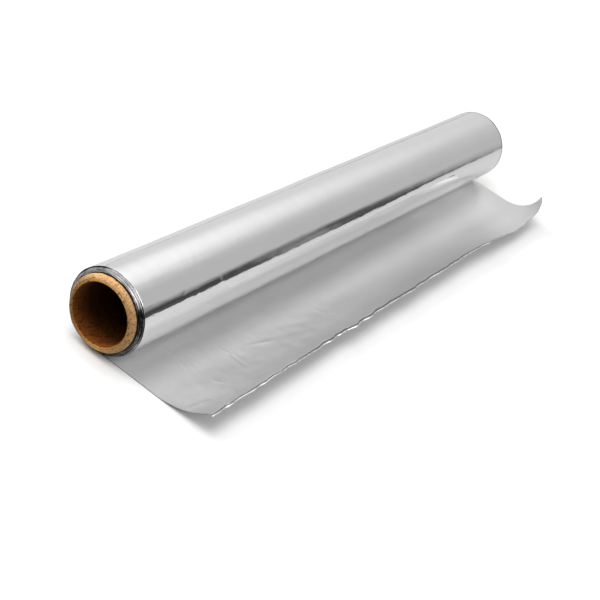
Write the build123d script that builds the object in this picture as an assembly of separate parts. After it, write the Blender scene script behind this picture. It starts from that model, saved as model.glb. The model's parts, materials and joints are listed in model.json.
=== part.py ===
from build123d import *
import math
import os

# Aluminium foil roll: foil wound on a paperboard core tube, with its loose end pulled out.
# Frame in millimetres: +X along the roll, +Z up, the loose sheet towards -Y.
# The origin is on the resting plane, under the middle of the foil's width.

# Core tube
core_bore_diameter = 24.2
core_wall = 2.5
core_proud_near = 4.0       # the core stands out of the outermost turn at the -X end
core_proud_far = 1.2        # and at the +X end
rim_outer_round = 2.1
rim_inner_round = 0.3

# Wound foil
foil_width = 300.0
winding_clearance = 0.1     # radial, between the core and the first turn
winding_build_up = 1.95     # radial, all turns together
turn_bands = 5              # bands of turns that show on each end face
band_shift = 0.45           # each band lies this much nearer to -X than the one outside it
first_band_set_back = 1.5   # at both ends of the band next to the core
flat_spot_width = 7.0       # the roll is pressed flat where it rests

# Loose sheet
sheet_thickness = 0.25
sheet_flat_length = 27.8    # lies on the resting plane, measured from under the roll's axis
curl_length_near = 26.7     # then curls up, at the -X edge
curl_length_far = 23.0      # and at the +X edge, because it was torn off askew
curl_radius_near = 39.0
curl_radius_far = 27.0
slack_curl_radius = 48.0    # the curl hangs slack before the +X corner
slack_inset = 34.0          # from the +X edge to the middle of the slack place
slack_reach = 28.0          # the slack fades over this distance to both sides
corner_curl_radius = 18.8   # the +X corner itself curls tightest
corner_reach = 4.0          # the tightest curl fades over this distance from the corner

# Worked out from the sizes above
bore_radius = core_bore_diameter / 2
core_radius = bore_radius + core_wall
core_length = core_proud_near + foil_width + core_proud_far
first_turn_radius = core_radius + winding_clearance
roll_radius = first_turn_radius + winding_build_up
axis_height = math.sqrt(roll_radius**2 - (flat_spot_width / 2) ** 2)
near_edge_x = -foil_width / 2
far_edge_x = foil_width / 2
slack_middle_x = far_edge_x - slack_inset


def core_tube():
    """Straight tube with rounded rims, standing out of the foil at both ends."""
    wall = Rectangle(core_length, core_wall)
    wall = fillet(wall.vertices().sort_by(Axis.Y)[-2:], rim_outer_round)
    wall = fillet(wall.vertices().sort_by(Axis.Y)[:2], rim_inner_round)
    tube = revolve(Plane.XZ * Pos(0, bore_radius + core_wall / 2) * wall, Axis.X)
    middle_x = near_edge_x - core_proud_near + core_length / 2
    return Pos(middle_x, 0, axis_height) * tube


def band_ends():
    """Where each band of turns starts and ends along the roll, from the core outwards."""
    ends = []
    for bands_outside in reversed(range(turn_bands)):
        shift = band_shift * bands_outside
        set_back = first_band_set_back if bands_outside == turn_bands - 1 else 0.0
        ends.append((near_edge_x - shift + set_back, far_edge_x - shift - set_back))
    return ends


def wound_turns():
    """All the turns as one ring, with the bands of turns as steps on both end faces."""
    band_height = winding_build_up / turn_bands
    near_side, far_side = [], []
    for band, (near_x, far_x) in enumerate(band_ends()):
        inside = first_turn_radius + band * band_height
        for radius in (inside, inside + band_height):
            near_side.append((near_x, 0, radius))
            far_side.append((far_x, 0, radius))
    section = make_face(Polyline(*far_side, *reversed(near_side), close=True))
    return Pos(0, 0, axis_height) * revolve(section, Axis.X)


def even_curl_at(x):
    """Curvature of the sheet if its curl tightened evenly from the -X edge to the +X edge."""
    along = (x - near_edge_x) / foil_width
    return (1 - along) / curl_radius_near + along / curl_radius_far


def slack_curl_at(x):
    """The even curvature, eased around the slack place."""
    most_eased = even_curl_at(slack_middle_x) - 1 / slack_curl_radius
    return even_curl_at(x) - most_eased * math.exp(-(((x - slack_middle_x) / slack_reach) ** 2))


def curl_radius_at(x):
    """Radius of the sheet's curl at one place along the roll."""
    corner_extra = 1 / corner_curl_radius - slack_curl_at(far_edge_x)
    return 1 / (slack_curl_at(x) + corner_extra * math.exp((x - far_edge_x) / corner_reach))


def curl_section(x):
    """Section of the sheet's curled part, square to the roll at one place along it."""
    radius = curl_radius_at(x)
    along = (x - near_edge_x) / foil_width
    turn = (curl_length_near + (curl_length_far - curl_length_near) * along) / radius

    def point(arc_radius, angle):
        y = -sheet_flat_length - arc_radius * math.sin(angle)
        return (x, y, radius - arc_radius * math.cos(angle))

    inside = radius - sheet_thickness
    under_side = ThreePointArc(point(radius, 0), point(radius, turn / 2), point(radius, turn))
    upper_side = ThreePointArc(point(inside, turn), point(inside, turn / 2), point(inside, 0))
    torn_edge = Line(under_side @ 1, upper_side @ 0)
    root = Line(upper_side @ 1, under_side @ 0)
    return make_face([under_side, torn_edge, upper_side, root])


def loose_sheet():
    """The sheet that leaves the roll at its lowest line: flat at first, then curled up."""
    flat = Box(foil_width, sheet_flat_length, sheet_thickness)
    flat = Pos(0, -sheet_flat_length / 2, sheet_thickness / 2) * flat
    even_stations = [near_edge_x + foil_width * part / 3 for part in range(3)]
    slack_stations = [slack_middle_x + slack_reach * part for part in (-1.5, -1, -0.5, 0, 0.5)]
    corner_stations = [far_edge_x - corner_reach * part for part in (3, 2, 1, 0.5, 0)]
    stations = sorted(even_stations + slack_stations + corner_stations)
    curl = loft([curl_section(x) for x in stations], ruled=True)
    return flat + curl


def foil():
    """Turns and loose sheet in one piece, resting on the flat spot and the sheet's flat part."""
    below = Box(2 * foil_width, 2 * roll_radius, roll_radius, align=(Align.CENTER, Align.CENTER, Align.MAX))
    return (wound_turns() - below) + loose_sheet()


os.makedirs("parts", exist_ok=True)
export_step(core_tube(), "parts/core_tube.step")
export_step(foil(), "parts/foil.step")
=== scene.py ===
import json
import math

import bpy
import numpy as np
from mathutils import Matrix, Vector


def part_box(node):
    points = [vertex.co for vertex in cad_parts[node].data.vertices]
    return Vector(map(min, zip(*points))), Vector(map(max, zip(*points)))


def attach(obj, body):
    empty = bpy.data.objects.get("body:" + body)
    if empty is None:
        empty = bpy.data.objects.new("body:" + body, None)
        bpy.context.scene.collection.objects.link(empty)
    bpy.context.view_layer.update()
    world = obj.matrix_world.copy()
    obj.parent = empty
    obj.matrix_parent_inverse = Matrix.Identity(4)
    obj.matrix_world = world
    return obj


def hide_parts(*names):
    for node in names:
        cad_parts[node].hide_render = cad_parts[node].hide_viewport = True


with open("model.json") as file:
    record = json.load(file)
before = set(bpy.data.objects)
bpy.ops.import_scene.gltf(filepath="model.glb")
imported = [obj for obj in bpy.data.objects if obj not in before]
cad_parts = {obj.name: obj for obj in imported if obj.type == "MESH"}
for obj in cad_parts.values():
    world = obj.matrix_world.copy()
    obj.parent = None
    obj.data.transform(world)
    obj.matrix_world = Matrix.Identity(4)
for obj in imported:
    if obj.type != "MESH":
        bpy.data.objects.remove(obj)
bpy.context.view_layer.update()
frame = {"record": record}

# Aluminium foil roll: foil with a bright outside and a satin inner side, on a paperboard core.
# Sizes are in millimetres, in the CAD's frame: +X along the roll, +Z up, the loose sheet
# towards -Y. Angles around the roll are measured from its top, and negative towards -Y.
MM = 0.001

# Read from the frame
foil_low, foil_high = (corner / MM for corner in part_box("foil"))
core_low, core_high = (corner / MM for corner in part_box("core_tube"))
bore_mount = next(m for m in frame["record"]["mounts"] if m["name"] == "core_bore")
axis_height = bore_mount["pos_m"][2] / MM
bore_radius = bore_mount["dims"]["r_mm"]
core_radius = (core_high.z - core_low.z) / 2
roll_radius = foil_high.y
far_x = foil_high.x
near_x = -far_x
foil_width = far_x - near_x
inner_turns_shift = near_x - foil_low.x     # the inner turns stand out this far at the -X end

# Loose sheet, with the sizes of the part's source
sheet_flat_length = 27.8
curl_length_near = 26.7
curl_length_far = 23.0
curl_radius_near = 39.0
curl_radius_far = 27.0
slack_curl_radius = 48.0
slack_middle_x = far_x - 34.0
slack_reach = 28.0
corner_curl_radius = 18.8
corner_reach = 4.0

# Loose sheet's fine form. All waves are (height, seed, shortest and longest wavelength).
sheet_thickness = 0.2
lip_thinning = 0.6              # the sheet is thinner by this share at its torn edge
lip_thinning_reach = 2.0
corner_gather = 0.3             # the +X corner's curl is gathered towards its tip
corner_tightening = 0.19        # and turns further by this share
sheet_wave = (0.12, 13, 22, 70)
sheet_wave_stretch = 0.6        # the waves are drawn out along the roll
sheet_wave_rise = (20, 45)      # and rise over these distances along the sheet
crumple_wave = (0.018, 14, 5, 16)
crumple_elsewhere = 0.25        # share of the crumples where the sheet wasn't handled
handled_rise = (22, 34)         # the handled part starts over these distances along the sheet
handled_fade_x = (30, -60)      # and ends over this stretch of the roll
crinkle_wave = (1.0, 15, 2.5, 9)    # of unit height
crinkle_near = 0.008            # height of the torn edge's crinkles near the -X corner
crinkle_far = 0.022             # and away from it
crinkle_rise = (30, 70)         # distances from the -X edge between the two
crinkle_width = 5.0

# Short creases on the loose sheet: start and end as (x, distance along the sheet), and height
sheet_creases = (
    ((-44, 30), (-41, 37), 0.112),
    ((-42, 35), (-41, 40), -0.098),
    ((-105, 25), (-103, 30), 0.084),
    ((-103, 29), (-106, 41), -0.098),
    ((-93, 30), (-78, 35), 0.126),
    ((-68, 20), (-67, 24), 0.07),
    ((-126, 13), (-124, 21), 0.056),
    ((-134, 19), (-121, 28), 0.07),
    ((-125, 36), (-123, 41), 0.098),
    ((-150, 42), (-137, 45), 0.126),
    ((-116, 22), (-107, 25), 0.07),
    ((-72, 45), (-66, 54), 0.154),
)
sheet_crease_width = 0.6

# Torn edge: it wanders, and it is crimped, so that it drops and ends in a flange
tear_wave = (0.32, 11, 8, 40)
short_tear_wave = (0.2, 18, 7, 14)
tear_notch = 0.5
tear_notch_x = -62.0
tear_notch_reach = 6.0
fold_drop = 58                  # angle of the drop, in degrees
fold_width = 1.1
fold_narrowed_near = 0.4        # the drop is narrower by this share near the -X corner
fold_narrowed_far = 0.75        # and by this share at the +X end
fold_narrowing = (120, 40)      # distances from the +X edge over which it narrows
fold_turn_down = (0, 0.1)       # parts of the drop in which the sheet turns down
fold_turn_up = (0.78, 0.9)      # and turns up again
flange_rise = -12               # angle of the flange, in degrees
flange_lean_wave = (4, 12, 7, 40)   # also in degrees
flange_width = 0.24
flange_width_near = 0.36
flange_widening = (85, 40)      # distances from the -X edge over which the flange widens
flange_patch_wave = (0.3, 16, 5, 18)
flange_patch_mean = 0.85
flange_patch_range = (0.3, 1.3)
flange_rag_wave = (0.05, 17, 1.5, 6)
flange_narrowest = 0.04
crimp_fade = (35, 70)           # distances from the +X edge over which the crimp fades in
crimp_tones_end = 3.0           # its own materials end this far from the +X edge

# Outermost turn
edge_round = 0.18
near_edge_width = 0.15          # it takes the end face's material, with its painted shade behind, this far from its -X edge
far_edge_width = 0.9            # and painted dark, as shade, this far from its +X edge
roll_wave = (0.03, 21, 14, 60)
roll_wave_stretch = 0.5
cross_wave = (0.005, 23, 6, 18)
end_wave = (0.02, 22, 4, 12)
end_wave_reach = 3.0
streak_wave = (0.01, 24, 3, 9)
streak_fade = (80, 20)          # distances from the -X edge over which the streaks fade in
drawn_out = 0.15                # the streaks and cross waves are long one way
roll_relief_rise = 0.2          # angle in radians over which the relief rises at both ends

# Dents in the outermost turn: start and end as (x, angle in degrees), height and width
roll_creases = (
    ((-103, -66), (-105, -48), 0.035, 0.8),
    ((-121, -72), (-117, -58), 0.025, 0.8),
    ((-128, -60), (-124, -50), -0.02, 0.8),
    ((-116, -30), (-114, -14), 0.02, 0.8),
    ((-112, -28), (-111, -12), -0.02, 0.8),
    ((-95, -62), (60, -62), -0.06, 1.6),
    ((-152, -61), (-122, -61), -0.025, 1.4),
)

# End faces of the turns
first_turn_radius = core_radius + 0.1
first_band = 0.2                # share of the turns that stand back next to the core
first_band_set_back = 1.5
first_band_step = 0.005         # share of the turns that the step to them takes up
outermost_turns = 0.05          # share of the turns outside the first row of points
turn_rows = 22
turn_seeds = {-1: 31, 1: 32}    # at the -X end and at the +X end
turn_shift = 0.08               # each row stands out or back by up to this much
turn_shift_rise = 0.15          # share of the turns over which the unevenness rises
turn_wave = (0.09, 40, 5, 40)   # with the next seed for each row

# Stations along the roll, and rows of points around the foil
end_steps = (0, 0.06, 0.15, 0.3, 0.6, 1.0, 1.6)
end_stretch = 2.4
handled_to_x = -20.0            # the stations are closer on the -X side of this
handled_stations = 190
plain_stations = 74
flat_rows = 13
curl_rows = 43
fold_parts = (0, 0.03, 0.06, 0.1, 0.3, 0.5, 0.7, 0.78, 0.82, 0.86, 0.9, 1.0)
fold_rows_torn = 2              # rows of the drop that look torn, next to the flange
fold_rows_satin = 2             # and that are still satin, at its start
flange_rows = 5
seen_to_angle = 70
seen_rows = 120
hidden_rows = 27
flat_spot_rows = 5

# Core's fine form
rim_outer_round = 2.1
rim_inner_round = 0.3
rim_outer_rows = 22
rim_inner_rows = 8
rim_wear_wave = (0.05, 51, 3, 30)
rim_wear_stretch = 2            # the waves are shorter across the rim
rim_grain_wave = (0.025, 52, 0.9, 3)
rim_grain_stretch = 3
rim_proudest = 0.08
inner_ply = 0.75                # the innermost ply shows as a lip inside a fine groove
ply_groove_width = 0.16
ply_groove_depth = 0.16
spiral_turns = 3                # of the seams along the bore
seam_depth = 0.12
second_seam = 0.7               # depth of the second seam, as a share of the first
seam_reach = 0.05               # in radians
bore_lump_wave = (0.04, 53, 4, 25)
bore_lump_stretch = 0.5         # the lumps are drawn out along the bore
bore_margin = 0.01              # rows up to this far outside the bore turn with its seams
core_segments = 200
outside_rows = 6
outside_inset = 4.0
bore_rows = 120
bore_inset = 2.0

# Waves, ridges and edges of all meshes
wave_count = 28                 # sine waves in each kind of waviness
ridge_fade = 0.3                # a ridge fades out over this share of its length at each end
sharp_from = 35                 # edges sharper than this stay sharp, in degrees

# Materials of the faces, in the order of the meshes' slots
BRIGHT, SATIN, TURN_EDGES, TORN, PAINTED_SHADE = range(5)
BOARD, SHADED_LINING, SHADED_OUTSIDE = range(3)

# Where most values of a noise lie
noise_range = (0.3, 0.7)

# Foil's materials, on a map of the web that is one foil's width wide
sheet_map_offset = 40.0         # the loose sheet lies this far from the turns on the map
rolling_lines = (900, 3, 1)     # how often the rolling lines repeat across and along the web
rolling_line_share = 0.5
cloud_scale = 9.0
cloud_stops = (0.45, 1.05)
aluminium = (1.0, 1.0, 1.005)
foil_bump = 0.02

# Satin side's painted light: paler places where the sheet lies in shade or dim light, and slightly
# darker beside the roll at the -X end, as (start, end, tone at the start, tone at the end)
torn_side_y = (-34.1, -41.0)
roll_side_y = (-35.0, -20.0)
painted_light_torn_near = (30, -30, 0.0, 0.12)
painted_light_torn_far = (60, 126, 0.0, 0.09)
painted_light_by_roll = (-141, 0, -0.08, 0.08)
painted_light_by_roll_far = (60, 126, 0.0, 0.18)
painted_light_by_roll_fade = (132, 147, 1.0, 0.1)
painted_light_far_end = (60, 126, 1.0, 1.06)

# Turn edges: dark between the turns, with painted shade in front, a dark outermost ring painted as
# shade behind, and painted shade low down
edge_speck_scale = 900
edge_speck_share = 0.6
edge_patch_scale = 160
edge_colours = (
    (0.2, (0.02, 0.02, 0.021)),
    (0.55, (0.38, 0.38, 0.384)),
    (0.85, (0.75, 0.75, 0.76)),
)
edge_roughness = (0.35, 0.6)
edge_bump = 0.08
painted_shade_place = (near_x, -14.6, 22.0)
painted_shade_reach = (4, 10)
painted_shade_depth = 0.6
ring_spacing = 0.62             # of the groups of turns that show as rings
ring_depth = 0.16
shaded_outer_ring = (0.55, 0.4)    # below the roll's outside
shaded_outer_ring_depth = 0.8
shaded_outer_ring_y = (3, 7)
low_shade_z = (5, 20)
low_shade_depth = 0.5

# Torn edge's material
torn_grain_scale = 700
torn_colours = ((0.3, (0.82, 0.82, 0.83)), (0.6, (0.97, 0.97, 0.98)))
torn_roughness = (0.22, 0.36)
torn_bump = 0.03

# Paperboard
pulp_scale = 1500
pulp_stops = (0.62, 0.8, 0.98)
fibre_scale = (500, 1500, 1500)
fibre_share = 0.7
fleck_scale = 1100
fleck_range = (0.6, 0.68)
fleck_tone = 0.35
inner_stain_width = 1.1
inner_stain_colours = ((0.2, (1, 1, 1)), (0.9, (0.92, 0.78, 0.5)))
# Painted shade on the board: darker on both sides, slightly lighter at the top and bottom
front_shade_y = (-12, -4)
front_shade_share = 0.6       # the front gets less painted shade than the back
back_shade_reach = (3, 12)    # painted shade at the back follows a line that slants down
back_shade_slant = 0.3
painted_light_tone = 1.06
lining_depth = 10.0             # the bore lining's painted light near the mouth fades to painted shade over this depth
board_roughness = (0.75, 0.95)
board_bump = 0.12

# Camera, found from the photo's outlines, with angles in degrees
camera_place = (-533.829, -209.753, 306.201)
camera_azimuth = -69.187
camera_elevation = 30.271
camera_roll = 24.696
camera_lens = 89.415
camera_sensor = 36.0
camera_clip = (0.01, 100.0)     # in metres

# Soft light all around, by the direction's y and x: (start, end, light at start, light at end)
studio_strength = 0.7
light_by_y = (-0.37, 0.44, 0.71, 1.01)
light_by_x = (-0.35, 0.3, 0.3, 1.0)
horizon = (-0.02, 0.0)
light_from_below = 0.8
# Brighter places as (azimuth from +X towards +Y, elevation, reach, strength), in degrees
studio_lobes = (
    (52, 63, 54, 0.75),
    (65, 72, 32, 1.7),
    (-130, 50, 35, 0.9),
)
# A dark strip low down in front, as (azimuth, depth of the darkness)
dark_strip = (
    (-46, 0.9),
    (-37.5, 0.88),
    (-36, 0.62),
    (-34.5, 0.62),
    (-33, 0.86),
    (-30.5, 0.7),
    (-28, 0.3),
    (-24, 0.0),
)
dark_strip_elevation = (14.5, 6.3)
dark_strip_lowered = (-37, -27)     # azimuths between which its top comes down
dark_strip_lowering = 0.07

# A dark card on the floor in front, with its tone as (x, grey)
card_tones = (
    (300, 0.04),
    (390, 0.04),
    (430, 0.2),
    (480, 0.2),
    (530, 0.03),
    (640, 0.04),
    (740, 0.2),
    (850, 0.4),
)
card_x = (-300.0, 2400.0)
card_y = -360.0
card_height = 40.0

# Floors: a white one that the camera sees, and a greyer one that the foil mirrors
floor_reach = 12000.0
floor_clouds = 0.01
floor_cloud_scale = 3.0
white_floor_tone = 0.885
white_floor_level = -0.05
mirrored_floor_tone = 0.52
mirrored_floor_level = -0.1

# Lamps as (place, size, watts)
key_lamp = ((-500, 140, 860), 600, 3.4)
back_lamp = ((-100, 1400, 720), 900, 16.0)
fill_lamp = ((150, -1300, 500), 800, 4.2)
front_lamp = ((208, -776, 892), 800, 8.5)


def ease(value, low, high):
    """0 at low, 1 at high, and a smooth rise between them."""
    part = np.clip((value - low) / (high - low), 0, 1)
    return part * part * (3 - 2 * part)


def waves(u, v, height, seed, shortest, longest):
    """Smooth waviness over (u, v): sine waves of many lengths and directions."""
    rng = np.random.default_rng(seed)
    total = 0.0
    for _ in range(wave_count):
        length = shortest * (longest / shortest) ** rng.random()
        turn, phase = rng.uniform(0, 2 * math.pi, 2)
        along = u * math.cos(turn) + v * math.sin(turn)
        total = total + np.sin(2 * math.pi * along / length + phase)
    return height * (total / math.sqrt(wave_count / 2))


def ridge(u, v, start, end, height, width):
    """A ridge along the line from start to end over (u, v), fading out at both ends."""
    run_u, run_v = end[0] - start[0], end[1] - start[1]
    length = math.hypot(run_u, run_v)
    along = ((u - start[0]) * run_u + (v - start[1]) * run_v) / length
    across = ((v - start[1]) * run_u - (u - start[0]) * run_v) / length
    fade_in = ease(along, -width, ridge_fade * length)
    fade_out = ease(along, length + width, (1 - ridge_fade) * length)
    return height * (fade_in * fade_out) * np.exp(-((across / width) ** 2))


def closed(numbers):
    """A block of point numbers with its first column again after its last."""
    return np.concatenate([numbers, numbers[:, :1]], axis=1)


def quads(numbers):
    """Faces between neighbours in a block of point numbers."""
    corners = [numbers[:-1, :-1], numbers[1:, :-1], numbers[1:, 1:], numbers[:-1, 1:]]
    return np.stack([corner.ravel() for corner in corners], axis=1)


def new_object(name, points, faces, materials, face_materials):
    """A smooth-shaded mesh object from points in millimetres."""
    mesh = bpy.data.meshes.new(name)
    mesh.from_pydata((np.asarray(points) * MM).tolist(), [], np.asarray(faces).tolist())
    for material in materials:
        mesh.materials.append(material)
    mesh.polygons.foreach_set("material_index", np.asarray(face_materials, dtype=np.int32))
    mesh.shade_smooth()
    mesh.set_sharp_from_angle(angle=math.radians(sharp_from))
    mesh.validate()
    made = bpy.data.objects.new(name, mesh)
    bpy.context.collection.objects.link(made)
    return made


# Loose sheet

def even_curl_at(x):
    """Curvature of the sheet if its curl tightened evenly along the roll."""
    along = (x - near_x) / foil_width
    return (1 - along) / curl_radius_near + along / curl_radius_far


def slack_curl_at(x):
    """The even curvature, eased around the slack place."""
    most_eased = even_curl_at(slack_middle_x) - 1 / slack_curl_radius
    return even_curl_at(x) - most_eased * np.exp(-(((x - slack_middle_x) / slack_reach) ** 2))


def curl_radius_at(x):
    """Radius of the sheet's curl at places along the roll."""
    corner_extra = 1 / corner_curl_radius - slack_curl_at(far_x)
    return 1 / (slack_curl_at(x) + corner_extra * np.exp((x - far_x) / corner_reach))


def sheet_end_at(x):
    """Distance along the sheet of its torn edge."""
    along = (x - near_x) / foil_width
    curl_length = curl_length_near + (curl_length_far - curl_length_near) * along
    notch = tear_notch * np.exp(-(((x - tear_notch_x) / tear_notch_reach) ** 2))
    wander = waves(x, 0 * x, *tear_wave) + waves(x, 0 * x, *short_tear_wave)
    return sheet_flat_length + curl_length - notch + wander


def crimp_at(x):
    """Widths of the crimped edge's drop and flange, and how much the crimp shows."""
    near_part = ease(x, near_x + flange_widening[0], near_x + flange_widening[1])
    far_part = ease(x, far_x - fold_narrowing[0], far_x - fold_narrowing[1])
    drop = fold_width * (1 - fold_narrowed_near * near_part) * (1 - fold_narrowed_far * far_part)
    patches = flange_patch_mean + waves(x, 0 * x, *flange_patch_wave)
    patches = np.clip(patches, *flange_patch_range)
    flange = (flange_width + (flange_width_near - flange_width) * near_part) * patches
    flange = np.maximum(flange + waves(x, 0 * x, *flange_rag_wave), flange_narrowest)
    return drop, flange, ease(x, far_x - crimp_fade[0], far_x - crimp_fade[1])


def curl_slope(x, s, end):
    """Slope of the curled sheet, with the +X corner's curl gathered towards its tip."""
    curled = np.clip(s - sheet_flat_length, 0, None)
    corner = np.exp((x - far_x) / corner_reach)
    gathered = (curled / (end - sheet_flat_length)) ** (corner_gather * corner)
    return curled / curl_radius_at(x) * gathered * (1 + corner_tightening * corner)


def crimped(slope, part, x, show):
    """Slope of the sheet with its crimp: part is 0 where the drop starts and 1 where it ends."""
    drop = math.radians(-fold_drop)
    rise = np.radians(flange_rise + waves(x, 0 * x, *flange_lean_wave))
    folded = slope + (drop - slope) * ease(part, *fold_turn_down)
    folded = folded + (rise - folded) * ease(part, *fold_turn_up)
    return slope + (folded - slope) * show


def sheet_relief(x, s, end):
    """How far the sheet stands off its curl: soft waves, creases and a crinkled torn edge."""
    relief = waves(sheet_wave_stretch * x, s, *sheet_wave) * ease(s, *sheet_wave_rise)
    handled = ease(s, *handled_rise) * ease(x, *handled_fade_x)
    relief = relief + waves(x, s, *crumple_wave) * (crumple_elsewhere + handled)
    for start, stop, height in sheet_creases:
        relief = relief + ridge(x, s, start, stop, height, sheet_crease_width)
    away = ease(x, near_x + crinkle_rise[0], near_x + crinkle_rise[1])
    crinkle = crinkle_near + (crinkle_far - crinkle_near) * away
    at_edge = ease(s, end - crinkle_width, end)
    return relief + crinkle * waves(x, 0 * x, *crinkle_wave) * at_edge


def sheet_root():
    """Distance from under the roll's axis to where the sheet's upper side leaves the roll."""
    return math.sqrt(roll_radius**2 - (axis_height - sheet_thickness) ** 2)


def sheet_rows(lip_start, drop, flange):
    """Distances along the sheet of its rows of points, at each place along the roll."""
    flat_part = np.linspace(0, 1, flat_rows + 1)[None, :-1]
    curl_part = np.linspace(0, 1, curl_rows + 1)[None, :-1]
    flange_part = np.linspace(0, 1, flange_rows + 1)[None, 1:]
    flat = flat_part * (sheet_flat_length - sheet_root()) + sheet_root()
    flat = np.broadcast_to(flat, (len(lip_start), flat_rows))
    curl = sheet_flat_length + (lip_start - sheet_flat_length) * curl_part
    fold = lip_start + drop * np.array(fold_parts)[None, :]
    end = lip_start + drop + flange * flange_part
    return np.concatenate([flat, curl, fold, end], axis=1)


def followed(slope, s):
    """Places (y, z) of rows of points on an underside with this slope."""
    step = np.diff(s, axis=1)
    middle = (slope[:, 1:] + slope[:, :-1]) / 2
    at_root = ((0, 0), (1, 0))
    y = -sheet_root() - np.cumsum(np.pad(step * np.cos(middle), at_root), axis=1)
    z = np.cumsum(np.pad(step * np.sin(middle), at_root), axis=1)
    return y, z


def sheet_sides(x):
    """Points of the sheet's upper side and underside, from the roll to the torn edge."""
    end = sheet_end_at(x)[:, None]
    drop, flange, show = (value[:, None] for value in crimp_at(x))
    lip_start = end - drop - flange
    s = sheet_rows(lip_start, drop, flange)
    across = np.broadcast_to(x[:, None], s.shape)
    slope = crimped(curl_slope(across, s, end), (s - lip_start) / drop, across, show)
    y, z = followed(slope, s)
    off = sheet_relief(across, s, end)
    under_z = np.maximum(z + off * np.cos(slope), 0)
    under = np.stack([across, y + off * np.sin(slope), under_z], axis=2)
    at_lip = ease(s, lip_start - lip_thinning_reach, lip_start)
    thickness = sheet_thickness * (1 - lip_thinning * at_lip)
    thick = np.stack([0 * s, thickness * np.sin(slope), thickness * np.cos(slope)], axis=2)
    return under + thick, under


# Turns

def foil_stations():
    """Places along the roll: close where the sheet was handled, and closest at both ends."""
    close = np.array(end_steps)
    handled = np.linspace(near_x + end_stretch, handled_to_x, handled_stations)
    plain = np.linspace(handled_to_x, far_x - end_stretch, plain_stations)[1:]
    return np.concatenate([near_x + close, handled, plain, far_x - close[::-1]])


def roll_angles():
    """Angles of the rows of points around the roll, from the sheet to the flat spot's back."""
    first = -math.pi + math.acos((axis_height - sheet_thickness) / roll_radius)
    last = math.pi - math.acos(axis_height / roll_radius)
    seen_to = math.radians(seen_to_angle)
    seen = np.linspace(first, seen_to, seen_rows)
    return np.concatenate([seen, np.linspace(seen_to, last, hidden_rows)[1:]])


def on_web(place):
    """A place on the roll, given as (x, angle in degrees), as (x, distance around it)."""
    return place[0], math.radians(place[1]) * roll_radius


def roll_relief(x, arc, from_end):
    """How far the outermost turn stands off a true cylinder: waves, streaks and dents."""
    relief = waves(roll_wave_stretch * x, arc, *roll_wave)
    relief = relief + waves(x, drawn_out * arc, *cross_wave)
    relief = relief + waves(x, arc, *end_wave) * np.exp(-from_end / end_wave_reach)
    near_part = ease(x, near_x + streak_fade[0], near_x + streak_fade[1])
    relief = relief + waves(drawn_out * x, arc, *streak_wave) * near_part
    for start, stop, height, width in roll_creases:
        relief = relief + ridge(x, arc, on_web(start), on_web(stop), height, width)
    return relief


def roll_side(x):
    """Points of the outermost turn, from the sheet over the top to the flat spot's back."""
    angle = roll_angles()[None, :]
    first, last = angle[0, 0], angle[0, -1]
    across = x[:, None]
    from_end = np.minimum(across - near_x, far_x - across)
    inset = np.clip(edge_round - from_end, 0, None)
    rounded = edge_round - np.sqrt(np.clip(edge_round**2 - inset**2, 0, None))
    relief = roll_relief(across, roll_radius * angle, from_end)
    risen = ease(angle, first, first + roll_relief_rise)
    risen = risen * ease(angle, last, last - roll_relief_rise)
    radius = roll_radius - rounded * risen + relief * risen
    y = radius * np.sin(angle)
    z = axis_height + radius * np.cos(angle)
    return np.stack(np.broadcast_arrays(across, y, z), axis=2)


def turn_edges(outline, outward):
    """Rows of points over one end face, from the outermost turn to the core."""
    rng = np.random.default_rng(turn_seeds[outward])
    y, z = outline[:, 1], outline[:, 2] - axis_height
    angle, outer = np.arctan2(y, z), np.hypot(y, z)
    arc = angle * roll_radius
    height, seed, shortest, longest = turn_wave
    wound = 1 - first_band
    rows = []
    for part in (*np.linspace(outermost_turns, wound, turn_rows), wound + first_band_step, 1.0):
        shift = -inner_turns_shift * min(part / wound, 1)
        if len(rows) < turn_rows:
            uneven = waves(arc, 0 * arc, height, seed + len(rows), shortest, longest)
            stands_out = rng.uniform(-turn_shift, turn_shift) + uneven
            shift = shift + ease(part, 0, turn_shift_rise) * stands_out
        else:
            shift = shift - outward * first_band_set_back
        radius = outer + (first_turn_radius - outer) * part
        row_y, row_z = radius * np.sin(angle), axis_height + radius * np.cos(angle)
        rows.append(np.stack([outline[:, 0] + shift, row_y, row_z], axis=1))
    return np.array(rows)


# Foil

def foil_outlines(x):
    """Points around the foil at each place along the roll, from the torn edge round to it."""
    upper, under = sheet_sides(x)
    roll = roll_side(x)
    back_y = roll[:, -1:, 1]
    flat_part = np.linspace(0, 1, flat_spot_rows + 2)[None, 1:-1]
    flat_y = back_y + (under[:, :1, 1] - back_y) * flat_part
    flat = np.stack(np.broadcast_arrays(x[:, None], flat_y, 0 * flat_y), axis=2)
    return np.concatenate([upper[:, ::-1], roll[:, 1:], flat, under], axis=1)


def foil_kinds(x, count, sheet_count):
    """Materials of the faces around the foil."""
    column = np.tile(np.arange(count), len(x) - 1)
    start_x, stop_x = np.repeat(x[:-1], count), np.repeat(x[1:], count)
    kinds = np.full(len(column), BRIGHT)
    kinds[column < sheet_count - 1] = SATIN
    crimp = start_x < far_x - crimp_tones_end
    # The crimp's drop gets the dark foil: painted shade in the crease
    kinds[crimp & (column < flange_rows + len(fold_parts) - 1 - fold_rows_satin)] = PAINTED_SHADE
    kinds[crimp & (column < flange_rows + fold_rows_torn)] = TORN
    roll_end = sheet_count + len(roll_angles()) - 2
    on_roll = (column >= sheet_count - 1) & (column < roll_end)
    kinds[on_roll & (start_x < near_x + near_edge_width)] = TURN_EDGES
    # A strip along the +X edge gets the dark foil: a painted dark edge line, as shade
    kinds[on_roll & (stop_x > far_x - far_edge_width)] = PAINTED_SHADE
    return kinds


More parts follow.
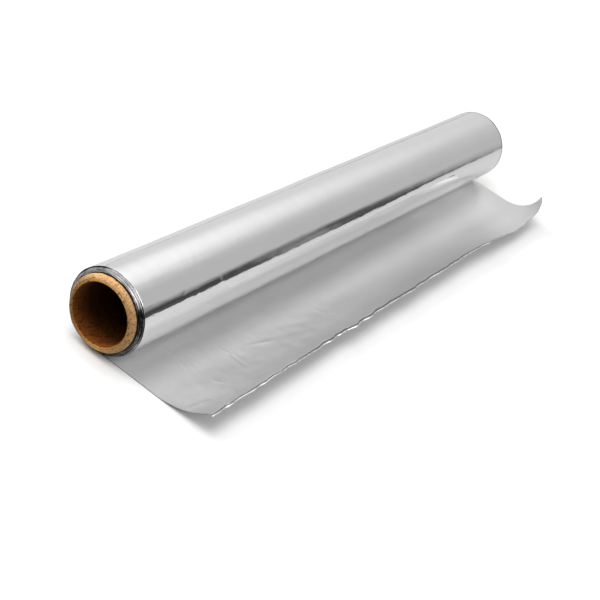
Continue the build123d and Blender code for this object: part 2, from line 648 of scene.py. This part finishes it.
def foil_object(materials):
    """The foil as one closed mesh: sheet, outermost turn, flat spot, end faces and inner wall."""
    x = foil_stations()
    outlines = foil_outlines(x)
    count = outlines.shape[1]
    sheet_count = flat_rows + curl_rows + len(fold_parts) + flange_rows
    numbers = np.arange(len(x) * count).reshape(len(x), count)
    turns = slice(sheet_count - 1, count - sheet_count + 1)
    points = [outlines.reshape(-1, 3)]
    faces = [quads(closed(numbers))]
    inner_rings = []
    total = numbers.size
    for station, outward in ((0, -1), (-1, 1)):
        rows = turn_edges(outlines[station, turns], outward)
        added = total + np.arange(rows[..., 0].size).reshape(rows.shape[:2])
        end_face = closed(np.concatenate([numbers[station, turns][None], added]))
        sheet_edge = np.stack([numbers[station, :sheet_count][::-1],
                               numbers[station, -sheet_count:]])
        points.append(rows.reshape(-1, 3))
        faces += [quads(end_face)[:, ::outward], quads(sheet_edge)[:, ::-outward]]
        inner_rings.append(end_face[-1])
        total += added.size
    faces.append(quads(np.stack(inner_rings, axis=1)))
    kinds = [foil_kinds(x, count, sheet_count)]
    kinds += [np.full(len(block), TURN_EDGES) for block in faces[1:]]
    made = new_object("foil_roll", np.concatenate(points), np.concatenate(faces), materials,
                      np.concatenate(kinds))
    web_map(made.data)
    return made


def web_map(mesh):
    """A flat map of the web: along the roll, and around it or along the loose sheet."""
    layer = mesh.uv_layers.new(name="web")
    place = np.zeros(len(mesh.vertices) * 3, dtype=np.float32)
    mesh.vertices.foreach_get("co", place)
    place = place.reshape(-1, 3) / MM
    corner = np.zeros(len(mesh.loops), dtype=np.int32)
    mesh.loops.foreach_get("vertex_index", corner)
    x, y, z = place.T
    around = np.arctan2(y, z - axis_height) * roll_radius
    v = np.where(y < -roll_radius, y - sheet_map_offset, around)
    uv = np.stack([x, v], axis=1)[corner] / foil_width
    layer.data.foreach_set("uv", uv.astype(np.float32).ravel())


# Core

def rim_profile():
    """Section of a rim from the bore to the outside, as (inset from the end, radius)."""
    rim = []
    for turn in np.linspace(0, math.pi / 2, rim_inner_rows):
        inset = rim_inner_round * (1 - math.sin(turn))
        rim.append((inset, bore_radius + rim_inner_round * (1 - math.cos(turn))))
    for turn in np.linspace(0, math.pi / 2, rim_outer_rows):
        inset = rim_outer_round * (1 - math.cos(turn))
        rim.append((inset, core_radius - rim_outer_round * (1 - math.sin(turn))))
    return rim


def core_profile():
    """Section of the tube's wall, as rows of (x, radius, 1 on a rim and 0 elsewhere)."""
    near, far = core_low.x, core_high.x
    outside_x = np.linspace(near + outside_inset, far - outside_inset, outside_rows)
    bore_x = np.linspace(far - bore_inset, near + bore_inset, bore_rows)
    near_rim = [(near + inset, radius, 1.0) for inset, radius in rim_profile()]
    outside = [(x, core_radius, 0.0) for x in outside_x]
    far_rim = [(far - inset, radius, 1.0) for inset, radius in reversed(rim_profile())]
    inside = [(x, bore_radius, 0.0) for x in bore_x]
    return np.array(near_rim + outside + far_rim + inside)


def rim_relief(turned, radius):
    """How far a rim stands out: wear, grain, and a groove beside the innermost ply."""
    wear = waves(turned * core_radius, rim_wear_stretch * radius, *rim_wear_wave)
    grain = waves(turned * core_radius, rim_grain_stretch * radius, *rim_grain_wave)
    from_groove = (radius - bore_radius - inner_ply) / ply_groove_width
    groove = -ply_groove_depth * np.exp(-(from_groove**2))
    return np.minimum(wear + grain + groove, rim_proudest)


def bore_relief(angle, turned, x):
    """How far the bore's wall stands back: two spiral seams, and soft lumps."""
    seam = np.exp(-((np.minimum(angle, 2 * math.pi - angle) / seam_reach) ** 2))
    seam = seam + second_seam * np.exp(-(((angle - math.pi) / seam_reach) ** 2))
    lumps = waves(turned * core_radius, bore_lump_stretch * x, *bore_lump_wave)
    return seam_depth * seam + lumps


def core_object(materials):
    """The tube: worn, rounded rims with an inner ply, and spiral seams along the bore."""
    profile = core_profile()
    angle = np.linspace(0, 2 * math.pi, core_segments, endpoint=False)[None, :]
    x, radius, rim = (column[:, None] for column in profile.T)
    in_bore = radius < bore_radius + bore_margin
    spiral = 2 * math.pi * spiral_turns * (x - core_low.x) / (core_high.x - core_low.x)
    turned = angle + np.where(in_bore, spiral, 0)
    moved_x = x + np.where(x < 0, -1, 1) * rim * rim_relief(turned, radius)
    moved = radius + np.where(in_bore, bore_relief(angle, turned, x) * (1 - rim), 0)
    y, z = moved * np.sin(turned), axis_height + moved * np.cos(turned)
    points = np.stack(np.broadcast_arrays(moved_x, y, z), axis=2).reshape(-1, 3)
    numbers = np.arange(len(points)).reshape(-1, core_segments)
    faces = quads(closed(np.concatenate([numbers, numbers[:1]])))
    outside = np.isclose(profile[:, 1], core_radius)
    # The bore's wall gets a much darker board, as painted shade
    kinds = np.where(in_bore[:, 0] & (profile[:, 2] == 0), SHADED_LINING, BOARD)
    # The core's outside under the foil is near black: painted shade in the gap beside the foil
    kinds[outside & np.roll(outside, -1)] = SHADED_OUTSIDE
    return new_object("core_board", points, faces, materials, np.repeat(kinds, core_segments))


# Shader nodes

def new_material(name):
    """A material with a Principled shader, with its tree and shader."""
    material = bpy.data.materials.new(name)
    material.use_nodes = True
    tree = material.node_tree
    return material, tree, tree.nodes["Principled BSDF"]


def dress(tree, node, inputs):
    """Inputs of a node, each set to a number or colour, or linked to a socket."""
    for name, value in inputs.items():
        if isinstance(value, bpy.types.NodeSocket):
            tree.links.new(value, node.inputs[name])
        else:
            node.inputs[name].default_value = value


def add(tree, kind, inputs=None, **settings):
    """A node with its settings, and its inputs by name or number."""
    node = tree.nodes.new(kind)
    for name, value in settings.items():
        setattr(node, name, value)
    dress(tree, node, inputs or {})
    return node


def combine(tree, operation, first, second):
    """One operation on two values."""
    return add(tree, "ShaderNodeMath", {0: first, 1: second}, operation=operation).outputs[0]


def weighted(tree, first, weight, second):
    """The first value times a weight, plus the second."""
    inputs = {0: first, 1: weight, 2: second}
    return add(tree, "ShaderNodeMath", inputs, operation="MULTIPLY_ADD").outputs[0]


def on_vectors(tree, operation, first, second, result="Vector"):
    """One operation on two vectors."""
    inputs = {0: first, 1: second}
    return add(tree, "ShaderNodeVectorMath", inputs, operation=operation).outputs[result]


def scaled(tree, colour, tone):
    """A colour made lighter or darker."""
    inputs = {0: colour, "Scale": tone}
    return add(tree, "ShaderNodeVectorMath", inputs, operation="SCALE").outputs[0]


def between(tree, value, low, high, out_low, out_high, interpolation="LINEAR"):
    """A value moved from one range to another, and kept within it."""
    inputs = {"Value": value, "From Min": low, "From Max": high,
              "To Min": out_low, "To Max": out_high}
    return add(tree, "ShaderNodeMapRange", inputs, interpolation_type=interpolation).outputs[0]


def object_place(tree):
    """The place on the object, in metres."""
    return add(tree, "ShaderNodeTexCoord").outputs["Object"]


def axes_of(tree, vector):
    """A vector's x, y and z."""
    return add(tree, "ShaderNodeSeparateXYZ", {"Vector": vector}).outputs


def noise(tree, place, scale=1.0, detail=3.0, stretch=(1, 1, 1)):
    """Noise over a place, with most of its values in noise_range."""
    mapped = add(tree, "ShaderNodeMapping", {"Vector": place, "Scale": stretch}).outputs[0]
    inputs = {"Vector": mapped, "Scale": scale, "Detail": detail}
    return add(tree, "ShaderNodeTexNoise", inputs).outputs[0]


def spread(tree, noise_value, low, high):
    """A noise moved to a range of its own."""
    return between(tree, noise_value, *noise_range, low, high)


def colours(tree, value, stops):
    """A colour ramp with stops as (place, colour)."""
    ramp = add(tree, "ShaderNodeValToRGB", {"Fac": value})
    elements = ramp.color_ramp.elements
    while len(elements) < len(stops):
        elements.new(0.5)
    for element, (place, colour) in zip(elements, stops):
        element.position = place
        element.color = (*colour, 1)
    return ramp.outputs[0]


def greys(tree, value, stops, unit):
    """A ramp of greys with stops as (place, grey), and their places in this unit."""
    first, last = stops[0][0], stops[-1][0]
    part = between(tree, value, first * unit, last * unit, 0.0, 1.0)
    ramp = [((place - first) / (last - first), (grey, grey, grey)) for place, grey in stops]
    return colours(tree, part, ramp)


def bumped(tree, height, strength, distance):
    """Fine relief for a shader's normal, with its depth in millimetres."""
    inputs = {"Height": height, "Strength": strength, "Distance": distance * MM}
    return add(tree, "ShaderNodeBump", inputs).outputs[0]


# Materials

def along_web(tree, along, start_x, stop_x, low, high):
    """A tone between two places along the roll, on the map of the web."""
    return between(tree, along, start_x / foil_width, stop_x / foil_width, low, high)


def across_sheet(tree, around, start_y, stop_y):
    """A share that rises between two places across the loose sheet, on the map of the web."""
    start, stop = ((y - sheet_map_offset) / foil_width for y in (start_y, stop_y))
    return between(tree, around, start, stop, 0.0, 1.0)


def painted_light_places(tree, web):
    """Painted light on the satin side: a tone that rises on the torn side towards both ends,
    beside the roll towards the +X end (a little darker there at the -X end), and over the +X end.
    """
    along, around = axes_of(tree, web)[:2]
    torn_side_light = combine(tree, "ADD", along_web(tree, along, *painted_light_torn_near),
                        along_web(tree, along, *painted_light_torn_far))
    torn_side_light = combine(tree, "MULTIPLY", torn_side_light, across_sheet(tree, around, *torn_side_y))
    roll_side_light = combine(tree, "ADD", along_web(tree, along, *painted_light_by_roll),
                        along_web(tree, along, *painted_light_by_roll_far))
    roll_side_light = combine(tree, "MULTIPLY", roll_side_light, along_web(tree, along, *painted_light_by_roll_fade))
    roll_side_light = combine(tree, "MULTIPLY", roll_side_light, across_sheet(tree, around, *roll_side_y))
    tone = combine(tree, "ADD", torn_side_light, roll_side_light)
    return combine(tree, "ADD", tone, along_web(tree, along, *painted_light_far_end))


def foil_material(name, tones, roughness, anisotropic, bump, mark_depth, mark_counts, with_painted_light=False):
    """Rolled aluminium, with fine rolling lines along the web and slight cloudiness."""
    material, tree, shader = new_material(name)
    web = add(tree, "ShaderNodeUVMap", uv_map="web").outputs[0]
    lines = noise(tree, web, detail=4.0, stretch=rolling_lines)
    marks = noise(tree, web, stretch=(*mark_counts, 1))
    cloudy = weighted(tree, lines, rolling_line_share, noise(tree, web, cloud_scale))
    stops = [(stop, [tone * c for c in aluminium]) for stop, tone in zip(cloud_stops, tones)]
    colour = colours(tree, cloudy, stops)
    # Painted light: the satin side is paler where the sheet lies in shade or dim light
    if with_painted_light:
        colour = scaled(tree, colour, painted_light_places(tree, web))
    tangent = add(tree, "ShaderNodeTangent", direction_type="UV_MAP", uv_map="web")
    dress(tree, shader, {
        "Base Color": colour,
        "Roughness": spread(tree, lines, *roughness),
        "Metallic": 1.0,
        "Anisotropic": anisotropic,
        "Tangent": tangent.outputs[0],
        "Normal": bumped(tree, weighted(tree, marks, mark_depth, lines), bump, foil_bump),
    })
    return material


def distance_from_axis(tree, place):
    """Distance of a place from the roll's axis, in metres."""
    flat_place = on_vectors(tree, "MULTIPLY", place, (0, 1, 1))
    return on_vectors(tree, "DISTANCE", flat_place, (0, 0, axis_height * MM), "Value")


def edge_tone(tree, place, specks):
    """Lightness of the turn edges at a place, with painted shade in front, at the outermost ring
    behind, and low down.
    """
    axes = axes_of(tree, place)
    from_axis = distance_from_axis(tree, place)
    tone = weighted(tree, specks, edge_speck_share, noise(tree, place, edge_patch_scale))
    # Painted shade on the end face's front
    from_painted_shade = on_vectors(tree, "DISTANCE", place, Vector(painted_shade_place) * MM, "Value")
    start, stop = (reach * MM for reach in painted_shade_reach)
    tone = combine(tree, "ADD", tone, between(tree, from_painted_shade, start, stop, -painted_shade_depth, 0.0))
    turns = combine(tree, "MULTIPLY", from_axis, 2 * math.pi / (ring_spacing * MM))
    rings = add(tree, "ShaderNodeMath", {0: turns}, operation="SINE").outputs[0]
    tone = weighted(tree, rings, ring_depth, tone)
    # Painted shade: a dark outermost ring, only behind
    start, stop = ((roll_radius - depth) * MM for depth in shaded_outer_ring)
    outer_ring_shade = between(tree, from_axis, start, stop, 0.0, shaded_outer_ring_depth)
    start, stop = (y * MM for y in shaded_outer_ring_y)
    shade_behind = between(tree, axes[1], start, stop, 0.0, 1.0)
    tone = combine(tree, "SUBTRACT", tone, combine(tree, "MULTIPLY", outer_ring_shade, shade_behind))
    # Painted shade low down
    start, stop = (z * MM for z in low_shade_z)
    shade = between(tree, axes[2], start, stop, low_shade_depth, 0.0)
    return combine(tree, "SUBTRACT", tone, shade)


def edge_material():
    """Cut edges of many turns: dark between them, with fine rings, worn bright places, and painted
    shade.
    """
    material, tree, shader = new_material("foil_turn_edges")
    place = object_place(tree)
    specks = noise(tree, place, edge_speck_scale, detail=4.0)
    dress(tree, shader, {
        "Base Color": colours(tree, edge_tone(tree, place, specks), edge_colours),
        "Roughness": spread(tree, specks, *edge_roughness),
        "Metallic": 1.0,
        "Normal": bumped(tree, specks, 0.5, edge_bump),
    })
    return material


def torn_material():
    """The torn edge, where the metal is stretched and scatters light."""
    material, tree, shader = new_material("foil_torn_edge")
    grain = noise(tree, object_place(tree), torn_grain_scale, detail=4.0)
    dress(tree, shader, {
        "Base Color": colours(tree, grain, torn_colours),
        "Roughness": spread(tree, grain, *torn_roughness),
        "Metallic": 1.0,
        "Normal": bumped(tree, grain, 0.25, torn_bump),
    })
    return material


def board_tone(tree, place, shade_tone, painted_light_by_depth):
    """Lightness of the paperboard at a place: painted shade in front and behind, slightly lighter
    between them, painted light and shade by depth in the bore, and dark flecks.
    """
    axes = axes_of(tree, place)
    # Painted shade in front and behind, slightly lighter between them
    start, stop = (y * MM for y in front_shade_y)
    front_shade_tone = 1 - front_shade_share * (1 - shade_tone)
    front = between(tree, axes[1], start, stop, front_shade_tone, 1.0)
    height = combine(tree, "SUBTRACT", axes[2], axis_height * MM)
    slanted = combine(tree, "MULTIPLY", height, back_shade_slant)
    back_and_down = combine(tree, "SUBTRACT", axes[1], slanted)
    start, stop = (reach * MM for reach in back_shade_reach)
    shade_behind = between(tree, back_and_down, start, stop, painted_light_tone, shade_tone)
    # Painted light near the bore's mouth, fading to painted shade deeper in
    start, stop = core_low.x * MM, (core_low.x + lining_depth) * MM
    depth = between(tree, axes[0], start, stop, *painted_light_by_depth)
    fleck_noise = noise(tree, place, fleck_scale, detail=2.0)
    flecks = between(tree, fleck_noise, *fleck_range, 1.0, fleck_tone)
    shade_factors = combine(tree, "MULTIPLY", front, shade_behind)
    return combine(tree, "MULTIPLY", combine(tree, "MULTIPLY", shade_factors, depth), flecks)


def board_material(name, dark, middle, light, shade_tone, painted_light_by_depth=(1, 1)):
    """Brown paperboard: mottled pulp with fibres, a stain along the bore's edge, and painted light
    and shade.
    """
    material, tree, shader = new_material(name)
    place = object_place(tree)
    pulp = noise(tree, place, pulp_scale, detail=4.0)
    fibres = noise(tree, place, detail=4.0, stretch=fibre_scale)
    mottled = weighted(tree, fibres, fibre_share, pulp)
    colour = colours(tree, mottled, list(zip(pulp_stops, (dark, middle, light))))
    start, stop = bore_radius * MM, (bore_radius + inner_stain_width) * MM
    inner = between(tree, distance_from_axis(tree, place), start, stop, 1.0, 0.0)
    colour = on_vectors(tree, "MULTIPLY", colour, colours(tree, inner, inner_stain_colours))
    dress(tree, shader, {
        "Base Color": scaled(tree, colour, board_tone(tree, place, shade_tone, painted_light_by_depth)),
        "Roughness": spread(tree, pulp, *board_roughness),
        "Specular IOR Level": 0.25,
        "Normal": bumped(tree, mottled, 0.6, board_bump),
    })
    return material


def floor_material(name, tone):
    """A plain, pale studio floor with faint clouds."""
    material, tree, shader = new_material(name)
    clouds = noise(tree, object_place(tree), floor_cloud_scale, detail=2.0)
    tones = (tone - floor_clouds, tone + floor_clouds)
    stops = [(stop, (grey, grey, grey)) for stop, grey in zip(noise_range, tones)]
    dress(tree, shader, {
        "Base Color": colours(tree, clouds, stops),
        "Roughness": 0.9,
        "Specular IOR Level": 0.1,
    })
    return material


# Studio

def floor_object(name, tone, level):
    """A large level floor just under the resting plane, which lights nothing else."""
    ends = ((-1, -1), (1, -1), (1, 1), (-1, 1))
    corners = [(x * floor_reach, y * floor_reach, level) for x, y in ends]
    floor = new_object(name, corners, [(0, 1, 2, 3)], (floor_material(name, tone),), [0])
    floor.visible_diffuse = False
    floor.visible_shadow = False
    return floor


def studio_floors():
    """A white floor that the camera sees, and a greyer one under it that the foil mirrors."""
    white = floor_object("studio_floor", white_floor_tone, white_floor_level)
    white.visible_glossy = False
    mirrored = floor_object("studio_floor_mirrored", mirrored_floor_tone, mirrored_floor_level)
    mirrored.visible_camera = False
    return white, mirrored


def dark_card():
    """A low card in front that the camera doesn't see, and the roll mirrors as a dark line."""
    low_x, high_x = card_x
    corners = [(low_x, card_y, 0.0), (high_x, card_y, 0.0),
               (high_x, card_y, card_height), (low_x, card_y, card_height)]
    material, tree, shader = new_material("studio_card")
    along = axes_of(tree, object_place(tree))[0]
    dress(tree, shader, {"Base Color": greys(tree, along, card_tones, MM)})
    card = new_object("studio_card", corners, [(0, 1, 2, 3)], (material,), [0])
    card.visible_camera = False
    card.visible_diffuse = False
    card.visible_shadow = False
    return card


def soft_lamp(name, place, size, watts):
    """A square lamp that faces the roll."""
    data = bpy.data.lights.new(name, "AREA")
    data.size = size * MM
    data.energy = watts
    lamp = bpy.data.objects.new(name, data)
    place = Vector(place) * MM
    turned = place.to_track_quat("Z", "Y").to_matrix().to_4x4()
    lamp.matrix_world = Matrix.Translation(place) @ turned
    bpy.context.collection.objects.link(lamp)
    return lamp


def soft_lamps():
    """Three lamps that the foil doesn't mirror, and one in front that only shows in the foil."""
    hidden = {"key_light": key_lamp, "back_light": back_lamp, "fill_light": fill_lamp}
    for name, lamp in hidden.items():
        soft_lamp(name, *lamp).visible_glossy = False
    front = soft_lamp("front_light", *front_lamp)
    front.visible_diffuse = False
    front.visible_camera = False


def lobe(tree, direction, azimuth, elevation, reach, strength):
    """Light around a direction, fading to nothing at an angle of reach from it, in degrees."""
    across, up = math.radians(azimuth), math.radians(elevation)
    centre = (math.cos(up) * math.cos(across), math.cos(up) * math.sin(across), math.sin(up))
    nearness = on_vectors(tree, "DOT_PRODUCT", direction, centre, "Value")
    edge = math.cos(math.radians(reach))
    return between(tree, nearness, edge, 1.0, 0.0, strength, "SMOOTHERSTEP")


def strip_light(tree, axes):
    """What the dark strip low down in front leaves of the light."""
    azimuth = combine(tree, "ARCTAN2", axes[1], axes[0])
    in_front = greys(tree, azimuth, dark_strip, math.radians(1))
    start, stop = (math.radians(angle) for angle in dark_strip_lowered)
    lowered = between(tree, azimuth, start, stop, 0.0, dark_strip_lowering)
    height = combine(tree, "ADD", axes[2], lowered)
    top, full = (math.sin(math.radians(angle)) for angle in dark_strip_elevation)
    low_down = between(tree, height, top, full, 0.0, 1.0)
    return combine(tree, "SUBTRACT", 1.0, combine(tree, "MULTIPLY", in_front, low_down))


def studio_light():
    """Soft light: brightest high behind the roll, dim beside the camera, and dark low in front."""
    world = bpy.data.worlds.new("studio")
    world.use_nodes = True
    bpy.context.scene.world = world
    tree = world.node_tree
    direction = add(tree, "ShaderNodeTexCoord").outputs["Generated"]
    axes = axes_of(tree, direction)
    by_x, by_y = between(tree, axes[0], *light_by_x), between(tree, axes[1], *light_by_y)
    total = combine(tree, "MULTIPLY", by_y, by_x)
    for place in studio_lobes:
        total = combine(tree, "ADD", total, lobe(tree, direction, *place))
    total = combine(tree, "MULTIPLY", total, strip_light(tree, axes))
    total = combine(tree, "MULTIPLY", total, between(tree, axes[2], *horizon, 0.0, 1.0))
    below = between(tree, axes[2], *horizon, light_from_below, 0.0)
    total = combine(tree, "MULTIPLY", combine(tree, "ADD", total, below), studio_strength)
    dress(tree, tree.nodes["Background"], {"Color": (1, 1, 1, 1), "Strength": total})


def photo_camera():
    """The camera at the photo's viewing angle."""
    azimuth, elevation = math.radians(camera_azimuth), math.radians(camera_elevation)
    roll = math.radians(camera_roll)
    level = math.cos(elevation)
    back = Vector((math.sin(azimuth) * level, -math.cos(azimuth) * level, math.sin(elevation)))
    level_right = Vector((math.cos(azimuth), math.sin(azimuth), 0))
    level_up = back.cross(level_right)
    right = level_right * math.cos(roll) + level_up * math.sin(roll)
    up = level_up * math.cos(roll) - level_right * math.sin(roll)
    data = bpy.data.cameras.new("photo_camera")
    data.lens = camera_lens
    data.sensor_width = camera_sensor
    data.clip_start, data.clip_end = camera_clip
    camera = bpy.data.objects.new("photo_camera", data)
    turned = Matrix((right, up, back)).transposed().to_4x4()
    camera.matrix_world = Matrix.Translation(Vector(camera_place) * MM) @ turned
    bpy.context.collection.objects.link(camera)
    bpy.context.scene.camera = camera


bpy.context.scene.view_settings.view_transform = "Standard"
bpy.context.scene.cycles.use_denoising = True
studio_light()
photo_camera()
soft_lamps()
for floor in studio_floors():
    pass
dark_card()

bright = foil_material(
    "foil_bright", tones=(0.882, 0.918), roughness=(0.04, 0.08), anisotropic=0.3,
    bump=0.06, mark_depth=34.0, mark_counts=(22, 130))
satin = foil_material(
    "foil_satin", tones=(0.5917, 0.6283), roughness=(0.38, 0.46), anisotropic=0.2,
    bump=0.15, mark_depth=14.0, mark_counts=(160, 60), with_painted_light=True)
# Dark grey foil, as painted shade: on the crimp's drop and along the +X edge
painted_shade_foil = foil_material(
    "foil_painted_shade", tones=(0.18, 0.22), roughness=(0.45, 0.55), anisotropic=0.0,
    bump=0.1, mark_depth=10.0, mark_counts=(160, 60))
foil = foil_object((bright, satin, edge_material(), torn_material(), painted_shade_foil))
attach(foil, "root")
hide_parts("foil")

# The rims' board, with painted shade on both sides
board = board_material(
    "core_paperboard", dark=(0.5, 0.23, 0.07), middle=(0.65, 0.35, 0.135),
    light=(0.76, 0.49, 0.24), shade_tone=0.48)
# The bore's wall: board darkened as painted shade, with painted light near the mouth
shaded_lining = board_material(
    "core_lining_painted_shade", dark=(0.1, 0.03, 0.007), middle=(0.18, 0.06, 0.014),
    light=(0.26, 0.095, 0.024), shade_tone=0.8, painted_light_by_depth=(1.7, 0.45))
# The core's outside: near black, as painted shade in the gap beside the foil
shaded_outside = board_material(
    "core_outside_painted_shade", dark=(0.02, 0.012, 0.007), middle=(0.03, 0.018, 0.01),
    light=(0.045, 0.026, 0.014), shade_tone=1)
core = core_object((board, shaded_lining, shaded_outside))
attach(core, "root")
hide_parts("core_tube")
